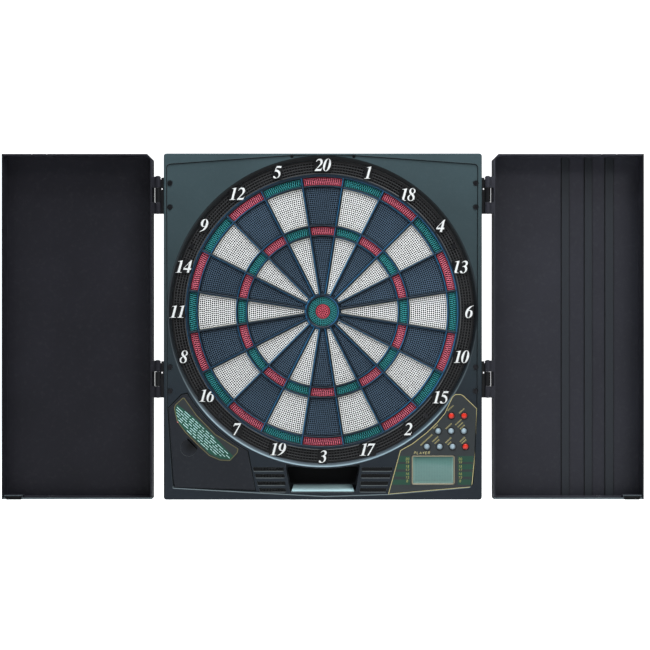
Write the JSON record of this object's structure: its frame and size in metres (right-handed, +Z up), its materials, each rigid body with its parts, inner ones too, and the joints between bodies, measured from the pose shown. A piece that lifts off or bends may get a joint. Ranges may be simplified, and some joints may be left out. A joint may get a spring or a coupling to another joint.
{
  "type": "electronic dartboard",
  "caption": "Wall cabinet with an electronic soft-tip dart target, scoring unit with buttons and display, storage bay, and two hinged tray doors.",
  "frame": {"origin": "on the wall plane, the back face of the rear cover, in line with the centre of the bull", "axes": "+X to the player's right, +Z up, +Y into the wall; the player stands on the -Y side"},
  "size_m": [0.9382, 0.0501, 0.506],
  "materials": {
    "housing_plastic": "fine grained moulded polystyrene, dark green-grey",
    "cover_plastic": "plain black moulded plastic",
    "spider_plastic": "smooth dark teal moulding with bright bevels",
    "ring_plastic": "black moulded plastic",
    "numeral_white": "white printed figures",
    "navy_plastic": "soft thermoplastic, navy",
    "white_plastic": "soft thermoplastic, off-white; its treble and double are teal",
    "teal_plastic": "soft thermoplastic, teal green",
    "red_plastic": "soft thermoplastic, red",
    "mat_rubber": "silicone rubber",
    "film": "polyester film",
    "foam": "soft foam sheet",
    "hardboard": "pressed hardboard",
    "circuit_board": "green glass-epoxy laminate",
    "lcd_glass": "grey-green liquid crystal panel",
    "clear_window": "clear acrylic",
    "overlay_print": "printed polyester overlay with a gold outline",
    "speaker_black": "paper cone in a black basket",
    "battery_wrap": "shrink-wrapped steel cells",
    "plated_steel": "zinc-plated steel",
    "jack_black": "black socket body",
    "door_plastic_dark": "smooth blue-black moulded plastic",
    "door_plastic_grey": "smooth charcoal moulded plastic",
    "hinge_black": "black moulded hinge",
    "black_screw": "black self-tapping screw",
    "label_print": "printed label",
    "button_red": "domed red cap",
    "button_grey": "domed grey-blue cap"
  },
  "bodies": {
    "housing": {"actuator_mat": "mat_rubber", "backing_board": "hardboard", "batteries": "battery_wrap", "battery_contacts": "plated_steel", "battery_cover": "cover_plastic", "button_keypad": "mat_rubber", "case_screws": "plated_steel", "control_panel_overlay": "overlay_print", "dc_jack": "jack_black", "foam_pad": "foam", "front_bezel": "housing_plastic", "front_screws": "black_screw", "hinge_leaves": "hinge_black", "hinge_pins": "plated_steel", "lcd_module": "lcd_glass", "lcd_window": "clear_window", "main_circuit_board": "circuit_board", "matrix_front_film": "film", "matrix_rear_film": "film", "matrix_spacer": "film", "number_ring": "ring_plastic", "rear_cover": "cover_plastic", "ring_numerals": "numeral_white", "speaker": "speaker_black", "spider_frame": "spider_plastic"},
    "left_door": {"door_left": "door_plastic_dark"},
    "right_door": {"door_right": "door_plastic_grey"},
    "lid": {"compartment_lid": "housing_plastic", "game_list_label": "label_print"},
    "number_20": {"segments_20": "navy_plastic"},
    "number_01": {"segments_01": "white_plastic"},
    "number_18": {"segments_18": "navy_plastic"},
    "number_04": {"segments_04": "white_plastic"},
    "number_13": {"segments_13": "navy_plastic"},
    "number_06": {"segments_06": "white_plastic"},
    "number_10": {"segments_10": "navy_plastic"},
    "number_15": {"segments_15": "white_plastic"},
    "number_02": {"segments_02": "navy_plastic"},
    "number_17": {"segments_17": "white_plastic"},
    "number_03": {"segments_03": "navy_plastic"},
    "number_19": {"segments_19": "white_plastic"},
    "number_07": {"segments_07": "navy_plastic"},
    "number_16": {"segments_16": "white_plastic"},
    "number_08": {"segments_08": "navy_plastic"},
    "number_11": {"segments_11": "white_plastic"},
    "number_14": {"segments_14": "navy_plastic"},
    "number_09": {"segments_09": "white_plastic"},
    "number_12": {"segments_12": "navy_plastic"},
    "number_05": {"segments_05": "white_plastic"},
    "outer_bull_target": {"outer_bull": "teal_plastic"},
    "inner_bull_target": {"inner_bull": "red_plastic"},
    "button_red_1_cap": {"button_red_1": "button_red"},
    "button_red_2_cap": {"button_red_2": "button_red"},
    "button_red_3_cap": {"button_red_3": "button_red"},
    "button_grey_1_cap": {"button_grey_1": "button_grey"},
    "button_grey_2_cap": {"button_grey_2": "button_grey"},
    "button_grey_3_cap": {"button_grey_3": "button_grey"},
    "button_grey_4_cap": {"button_grey_4": "button_grey"},
    "button_grey_5_cap": {"button_grey_5": "button_grey"},
    "button_grey_6_cap": {"button_grey_6": "button_grey"}
  },
  "joints": [
    {"name": "left_door_hinge", "type": "hinge", "parent": "housing", "child": "left_door", "pos_m": [-0.2409, -0.046, 0], "axis": [0, 0, 1], "range_deg": [0, 180]},
    {"name": "right_door_hinge", "type": "hinge", "parent": "housing", "child": "right_door", "pos_m": [0.2409, -0.046, 0], "axis": [0, 0, -1], "range_deg": [0, 180]},
    {"name": "lid_hinge", "type": "hinge", "parent": "housing", "child": "lid", "pos_m": [-0.2165, -0.0432, -0.2563], "axis": [-0.9995, 0, 0.031], "range_deg": [-90, 0], "stiffness_Nm_per_rad": 0.08},
    {"name": "number_20_press", "type": "slide", "parent": "housing", "child": "number_20", "axis": [0, 1, 0], "range_m": [0, 0.0015], "stiffness_N_per_m": 2500},
    {"name": "number_01_press", "type": "slide", "parent": "housing", "child": "number_01", "axis": [0, 1, 0], "range_m": [0, 0.0015], "stiffness_N_per_m": 2500},
    {"name": "number_18_press", "type": "slide", "parent": "housing", "child": "number_18", "axis": [0, 1, 0], "range_m": [0, 0.0015], "stiffness_N_per_m": 2500},
    {"name": "number_04_press", "type": "slide", "parent": "housing", "child": "number_04", "axis": [0, 1, 0], "range_m": [0, 0.0015], "stiffness_N_per_m": 2500},
    {"name": "number_13_press", "type": "slide", "parent": "housing", "child": "number_13", "axis": [0, 1, 0], "range_m": [0, 0.0015], "stiffness_N_per_m": 2500},
    {"name": "number_06_press", "type": "slide", "parent": "housing", "child": "number_06", "axis": [0, 1, 0], "range_m": [0, 0.0015], "stiffness_N_per_m": 2500},
    {"name": "number_10_press", "type": "slide", "parent": "housing", "child": "number_10", "axis": [0, 1, 0], "range_m": [0, 0.0015], "stiffness_N_per_m": 2500},
    {"name": "number_15_press", "type": "slide", "parent": "housing", "child": "number_15", "axis": [0, 1, 0], "range_m": [0, 0.0015], "stiffness_N_per_m": 2500},
    {"name": "number_02_press", "type": "slide", "parent": "housing", "child": "number_02", "axis": [0, 1, 0], "range_m": [0, 0.0015], "stiffness_N_per_m": 2500},
    {"name": "number_17_press", "type": "slide", "parent": "housing", "child": "number_17", "axis": [0, 1, 0], "range_m": [0, 0.0015], "stiffness_N_per_m": 2500},
    {"name": "number_03_press", "type": "slide", "parent": "housing", "child": "number_03", "axis": [0, 1, 0], "range_m": [0, 0.0015], "stiffness_N_per_m": 2500},
    {"name": "number_19_press", "type": "slide", "parent": "housing", "child": "number_19", "axis": [0, 1, 0], "range_m": [0, 0.0015], "stiffness_N_per_m": 2500},
    {"name": "number_07_press", "type": "slide", "parent": "housing", "child": "number_07", "axis": [0, 1, 0], "range_m": [0, 0.0015], "stiffness_N_per_m": 2500},
    {"name": "number_16_press", "type": "slide", "parent": "housing", "child": "number_16", "axis": [0, 1, 0], "range_m": [0, 0.0015], "stiffness_N_per_m": 2500},
    {"name": "number_08_press", "type": "slide", "parent": "housing", "child": "number_08", "axis": [0, 1, 0], "range_m": [0, 0.0015], "stiffness_N_per_m": 2500},
    {"name": "number_11_press", "type": "slide", "parent": "housing", "child": "number_11", "axis": [0, 1, 0], "range_m": [0, 0.0015], "stiffness_N_per_m": 2500},
    {"name": "number_14_press", "type": "slide", "parent": "housing", "child": "number_14", "axis": [0, 1, 0], "range_m": [0, 0.0015], "stiffness_N_per_m": 2500},
    {"name": "number_09_press", "type": "slide", "parent": "housing", "child": "number_09", "axis": [0, 1, 0], "range_m": [0, 0.0015], "stiffness_N_per_m": 2500},
    {"name": "number_12_press", "type": "slide", "parent": "housing", "child": "number_12", "axis": [0, 1, 0], "range_m": [0, 0.0015], "stiffness_N_per_m": 2500},
    {"name": "number_05_press", "type": "slide", "parent": "housing", "child": "number_05", "axis": [0, 1, 0], "range_m": [0, 0.0015], "stiffness_N_per_m": 2500},
    {"name": "outer_bull_press", "type": "slide", "parent": "housing", "child": "outer_bull_target", "axis": [0, 1, 0], "range_m": [0, 0.0015], "stiffness_N_per_m": 2500},
    {"name": "inner_bull_press", "type": "slide", "parent": "housing", "child": "inner_bull_target", "axis": [0, 1, 0], "range_m": [0, 0.0015], "stiffness_N_per_m": 2500},
    {"name": "button_red_1_press", "type": "slide", "parent": "housing", "child": "button_red_1_cap", "axis": [0, 1, 0], "range_m": [0, 0.0012], "stiffness_N_per_m": 1500},
    {"name": "button_red_2_press", "type": "slide", "parent": "housing", "child": "button_red_2_cap", "axis": [0, 1, 0], "range_m": [0, 0.0012], "stiffness_N_per_m": 1500},
    {"name": "button_red_3_press", "type": "slide", "parent": "housing", "child": "button_red_3_cap", "axis": [0, 1, 0], "range_m": [0, 0.0012], "stiffness_N_per_m": 1500},
    {"name": "button_grey_1_press", "type": "slide", "parent": "housing", "child": "button_grey_1_cap", "axis": [0, 1, 0], "range_m": [0, 0.0012], "stiffness_N_per_m": 1500},
    {"name": "button_grey_2_press", "type": "slide", "parent": "housing", "child": "button_grey_2_cap", "axis": [0, 1, 0], "range_m": [0, 0.0012], "stiffness_N_per_m": 1500},
    {"name": "button_grey_3_press", "type": "slide", "parent": "housing", "child": "button_grey_3_cap", "axis": [0, 1, 0], "range_m": [0, 0.0012], "stiffness_N_per_m": 1500},
    {"name": "button_grey_4_press", "type": "slide", "parent": "housing", "child": "button_grey_4_cap", "axis": [0, 1, 0], "range_m": [0, 0.0012], "stiffness_N_per_m": 1500},
    {"name": "button_grey_5_press", "type": "slide", "parent": "housing", "child": "button_grey_5_cap", "axis": [0, 1, 0], "range_m": [0, 0.0012], "stiffness_N_per_m": 1500},
    {"name": "button_grey_6_press", "type": "slide", "parent": "housing", "child": "button_grey_6_cap", "axis": [0, 1, 0], "range_m": [0, 0.0012], "stiffness_N_per_m": 1500}
  ]
}
